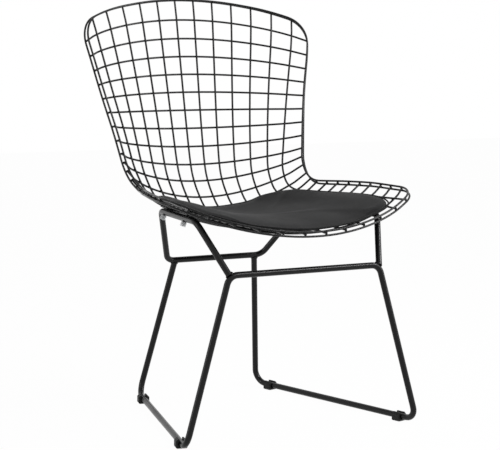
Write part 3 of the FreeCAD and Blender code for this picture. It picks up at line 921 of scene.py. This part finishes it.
class CHAIR_OT_sew_pad(bpy.types.Operator):
    """Leatherette cover pushed out by its foam, with piping and a stitched seam"""
    bl_idname = "chair.sew_pad"
    bl_label = "Sew the pad"

    def execute(self, context):
        settings = context.scene.chair_pad
        form = PadForm()
        points, faces, held, stitched, top_net = pad_sheets(form)
        ends = pushed_out(points, faces, held, settings.pressure)
        points = [soft_capped(a, b, settings.swell) for a, b in zip(points, ends)]
        evened(points, top_net)
        for corner in stitched:
            points[corner].z -= STITCH_CHANNEL
        pad = new_piece("seat_pad_cover", points, faces, cover_finish())
        smoother = pad.modifiers.new("smooth_cover", "SUBSURF")
        smoother.levels = 1
        smoother.render_levels = 1
        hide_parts("seat_pad")
        self.add_piping(form, settings)
        self.add_stitches(form, points, faces, settings)
        return {"FINISHED"}

    def add_piping(self, form, settings):
        points, faces = piping_tube(form, settings.piping_radius, settings.sides)
        new_piece("seat_pad_piping", points, faces, cover_finish())

    def add_stitches(self, form, points, faces, settings):
        cover = BVHTree.FromPolygons([tuple(point) for point in points], faces)
        line = []
        for side in range(settings.sides * 2):
            place = form.plan(STITCH_LEVEL, math.pi * side / settings.sides, SEAM_INSET)
            line.append(cover.ray_cast(Vector((place.x, place.y, 0.6)), Vector((0, 0, -1)))[0])
        thread = Gathered()
        for place, way in evenly_along(line, settings.stitch_pitch):
            normal = cover.find_nearest(place)[1]
            up = normal if normal.z > 0 else -normal
            across = way.cross(up).normalized()
            up = across.cross(way).normalized()
            thread.add(ball(*STITCH_HALF, place + up * 0.0001, across, way, up, 8, 6))
        new_piece("seat_pad_stitches", thread.points, thread.faces,
                  finish_of("sewing_thread", sewing_thread))


# Studio.
def camera_matrix():
    turn = math.radians(CAMERA_TURN)
    tilt = math.radians(CAMERA_TILT)
    roll = math.radians(CAMERA_ROLL)
    level = math.cos(tilt)
    back = Vector((math.sin(turn) * level, -math.cos(turn) * level, math.sin(tilt)))
    right = Vector((math.cos(turn), math.sin(turn), 0))
    up = back.cross(right)
    side = right * math.cos(roll) + up * math.sin(roll)
    top = up * math.cos(roll) - right * math.sin(roll)
    matrix = Matrix((side, top, back)).transposed().to_4x4()
    matrix.translation = Vector(CAMERA_PLACE)
    return matrix


def add_lamp(name, power, wide, deep, place, target):
    lamp = bpy.data.lights.new(name, "AREA")
    lamp.shape = "RECTANGLE"
    lamp.size = wide
    lamp.size_y = deep
    lamp.energy = power
    thing = bpy.data.objects.new(name, lamp)
    bpy.context.scene.collection.objects.link(thing)
    thing.location = place
    thing.rotation_euler = (Vector(target) - Vector(place)).to_track_quat("-Z", "Y").to_euler()
    return thing


def seen_white(tree):
    # 1 for what the camera, a gloss or clear plastic sees.
    path = add_node(tree, "ShaderNodeLightPath")
    either = add_node(tree, "ShaderNodeMath", operation="MAXIMUM")
    tree.links.new(path.outputs["Is Camera Ray"], either.inputs[0])
    tree.links.new(path.outputs["Is Transmission Ray"], either.inputs[1])
    every = add_node(tree, "ShaderNodeMath", operation="MAXIMUM")
    tree.links.new(either.outputs[0], every.inputs[0])
    tree.links.new(path.outputs["Is Glossy Ray"], every.inputs[1])
    return every.outputs[0]


def floor_finish():
    material, tree, shader = new_material("studio_floor")
    shader.inputs["Base Color"].default_value = (0.9, 0.9, 0.9, 1)
    shader.inputs["Roughness"].default_value = 1.0
    shader.inputs["Specular IOR Level"].default_value = 0.0
    glow = add_node(tree, "ShaderNodeEmission", Strength=1.0)
    shade = add_node(tree, "ShaderNodeMixShader")
    weight = add_node(tree, "ShaderNodeMath", operation="MULTIPLY")
    weight.inputs[1].default_value = 0.98
    tree.links.new(seen_white(tree), weight.inputs[0])
    tree.links.new(weight.outputs[0], shade.inputs[0])
    tree.links.new(shader.outputs[0], shade.inputs[1])
    tree.links.new(glow.outputs[0], shade.inputs[2])
    output = tree.nodes["Material Output"]
    tree.links.new(shade.outputs[0], output.inputs["Surface"])
    return material


def white_world(strength):
    world = bpy.data.worlds.new("studio_world")
    world.use_nodes = True
    tree = world.node_tree
    surround = tree.nodes["Background"]
    surround.inputs["Color"].default_value = (1, 1, 1, 1)
    level = remapped(tree, seen_white(tree), strength, 1.0)
    tree.links.new(level, surround.inputs["Strength"])
    bpy.context.scene.world = world


class CHAIR_OT_set_stage(bpy.types.Operator):
    """White floor, soft lamps and the photograph's camera"""
    bl_idname = "chair.set_stage"
    bl_label = "Set the stage"

    def execute(self, context):
        settings = context.scene.chair_stage
        scene = context.scene
        mesh = bpy.data.meshes.new("studio_floor")
        half = FLOOR_HALF
        mesh.from_pydata([(-half, -half, 0), (half, -half, 0), (half, half, 0), (-half, half, 0)],
                         [], [(0, 1, 2, 3)])
        floor = bpy.data.objects.new("studio_floor", mesh)
        scene.collection.objects.link(floor)
        wear(floor, floor_finish())
        white_world(settings.surround)
        add_lamp("key_lamp", settings.key_power, *KEY_LAMP)
        add_lamp("left_lamp", settings.side_power, *LEFT_LAMP)
        add_lamp("right_lamp", settings.side_power, *RIGHT_LAMP)
        data = bpy.data.cameras.new("photo_camera")
        data.lens = CAMERA_LENS
        data.sensor_fit = "HORIZONTAL"
        data.sensor_width = SENSOR_WIDTH
        data.clip_end = 50
        camera = bpy.data.objects.new("photo_camera", data)
        scene.collection.objects.link(camera)
        camera.matrix_world = camera_matrix()
        scene.camera = camera
        scene.view_settings.view_transform = "Standard"
        return {"FINISHED"}


class CHAIR_PT_panel(bpy.types.Panel):
    """Steps that finish the chair, in order"""
    bl_idname = "CHAIR_PT_panel"
    bl_label = "Wire Mesh Chair"
    bl_space_type = "VIEW_3D"
    bl_region_type = "UI"
    bl_category = "Chair"

    def draw(self, context):
        layout = self.layout
        for step in STEPS:
            layout.operator(step.bl_idname)
        for owner in SETTINGS:
            group = getattr(context.scene, owner)
            for field in group.bl_rna.properties:
                if field.identifier not in {"rna_type", "name"}:
                    layout.prop(group, field.identifier)


STEPS = (
    CHAIR_OT_coat_wires,
    CHAIR_OT_coat_base,
    CHAIR_OT_weld_grid,
    CHAIR_OT_weld_base,
    CHAIR_OT_fit_fixings,
    CHAIR_OT_mould_glides,
    CHAIR_OT_sew_pad,
    CHAIR_OT_set_stage,
)
SETTINGS = {
    "chair_coat": CoatSettings,
    "chair_weld": WeldSettings,
    "chair_fixing": FixingSettings,
    "chair_pad": PadSettings,
    "chair_stage": StageSettings,
}


def register():
    for group in SETTINGS.values():
        bpy.utils.register_class(group)
    for step in STEPS:
        bpy.utils.register_class(step)
    bpy.utils.register_class(CHAIR_PT_panel)
    for owner, group in SETTINGS.items():
        setattr(bpy.types.Scene, owner, PointerProperty(type=group))


def unregister():
    for owner in SETTINGS:
        delattr(bpy.types.Scene, owner)
    bpy.utils.unregister_class(CHAIR_PT_panel)
    for step in reversed(STEPS):
        bpy.utils.unregister_class(step)
    for group in reversed(list(SETTINGS.values())):
        bpy.utils.unregister_class(group)


def main():
    register()
    bpy.ops.chair.coat_wires()
    bpy.ops.chair.coat_base()
    bpy.ops.chair.weld_grid()
    bpy.ops.chair.weld_base()
    bpy.ops.chair.fit_fixings()
    bpy.ops.chair.mould_glides()
    bpy.ops.chair.sew_pad()
    bpy.ops.chair.set_stage()


if __name__ == "__main__":
    main()
